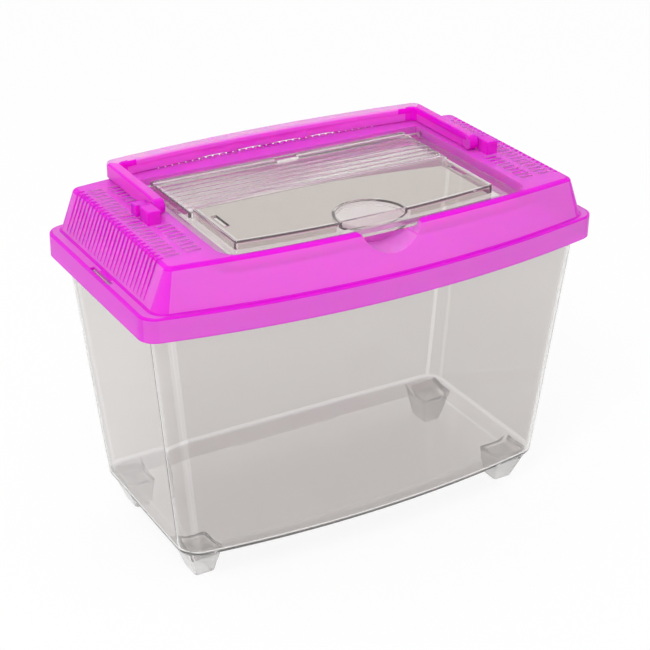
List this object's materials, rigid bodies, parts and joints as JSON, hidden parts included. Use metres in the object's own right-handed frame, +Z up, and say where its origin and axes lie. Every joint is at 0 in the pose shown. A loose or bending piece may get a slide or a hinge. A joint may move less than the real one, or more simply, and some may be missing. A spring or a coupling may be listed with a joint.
{
  "type": "plastic pet keeper",
  "caption": "Clear plastic pet keeper with a tinted vented press-on lid, a hinged clear hatch with a thumb hollow, and a folding carry handle.",
  "frame": {"origin": "middle of the base, on the plane that the four feet stand on", "axes": "+X along the long side, -Y the front with the finger notch, +Z up"},
  "size_m": [0.3, 0.1706, 0.2207],
  "materials": {
    "clear_tank": "clear moulded styrene, glossy",
    "tinted_lid": "translucent magenta moulded plastic, satin gloss",
    "clear_hatch": "clear moulded styrene, glossy",
    "tinted_handle": "translucent magenta moulded plastic, satin gloss"
  },
  "bodies": {
    "tank": {"tank": "clear_tank"},
    "lid": {"lid": "tinted_lid"},
    "hatch": {"hatch": "clear_hatch"},
    "handle": {"handle": "tinted_handle"}
  },
  "joints": [
    {"name": "lid_lift", "type": "slide", "parent": "tank", "child": "lid", "axis": [0, 0, 1], "range_m": [0, 0.08]},
    {"name": "hatch_hinge", "type": "hinge", "parent": "lid", "child": "hatch", "pos_m": [0, 0.0505, 0.206], "axis": [-1, 0, 0], "range_deg": [0, 92]},
    {"name": "handle_pivot", "type": "hinge", "parent": "lid", "child": "handle", "pos_m": [0, 0.004, 0.2155], "axis": [1, 0, 0], "range_deg": [0, 175]}
  ]
}
